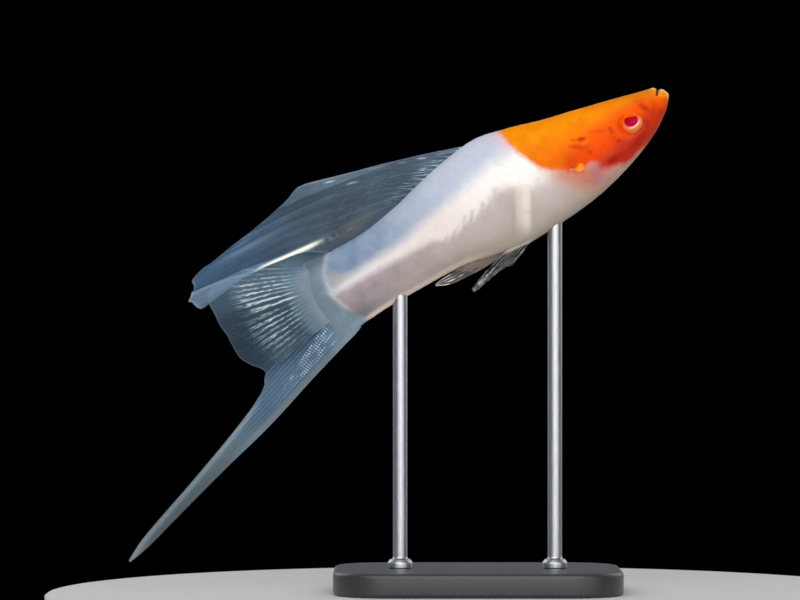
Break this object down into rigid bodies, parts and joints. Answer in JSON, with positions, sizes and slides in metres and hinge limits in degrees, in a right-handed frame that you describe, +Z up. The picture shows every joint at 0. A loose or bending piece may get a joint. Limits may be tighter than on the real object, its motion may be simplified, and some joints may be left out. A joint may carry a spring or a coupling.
{
  "type": "swordtail",
  "caption": "Life-size still model of a male long-finned swordtail, white with an orange head, swimming nose up on a plain display stand.",
  "frame": {"origin": "centre of the flat underside of the stand's base, on the surface that it stands on", "axes": "+Z up, +X the way the head points, -Y the way the fish's right side faces; the fish is pitched nose up by 29.85 degrees in the XZ plane"},
  "size_m": [0.0902, 0.034, 0.084],
  "materials": {
    "cap_skin": "satin",
    "pearl_skin": "satin",
    "fin": "satin",
    "eye": "gloss",
    "stand_base": "satin",
    "stand_rod": "satin"
  },
  "bodies": {
    "root": {"head": "cap_skin", "trunk": "pearl_skin", "tail": "pearl_skin", "eye_right": "eye", "eye_left": "eye", "dorsal_fin": "fin", "caudal_fin": "fin", "sword": "fin", "pectoral_fin_right": "fin", "pectoral_fin_left": "fin", "pelvic_fin_right": "fin", "pelvic_fin_left": "fin", "gonopodium": "fin", "stand_base": "stand_base", "stand_rod_rear": "stand_rod", "stand_rod_front": "stand_rod"}
  },
  "joints": []
}
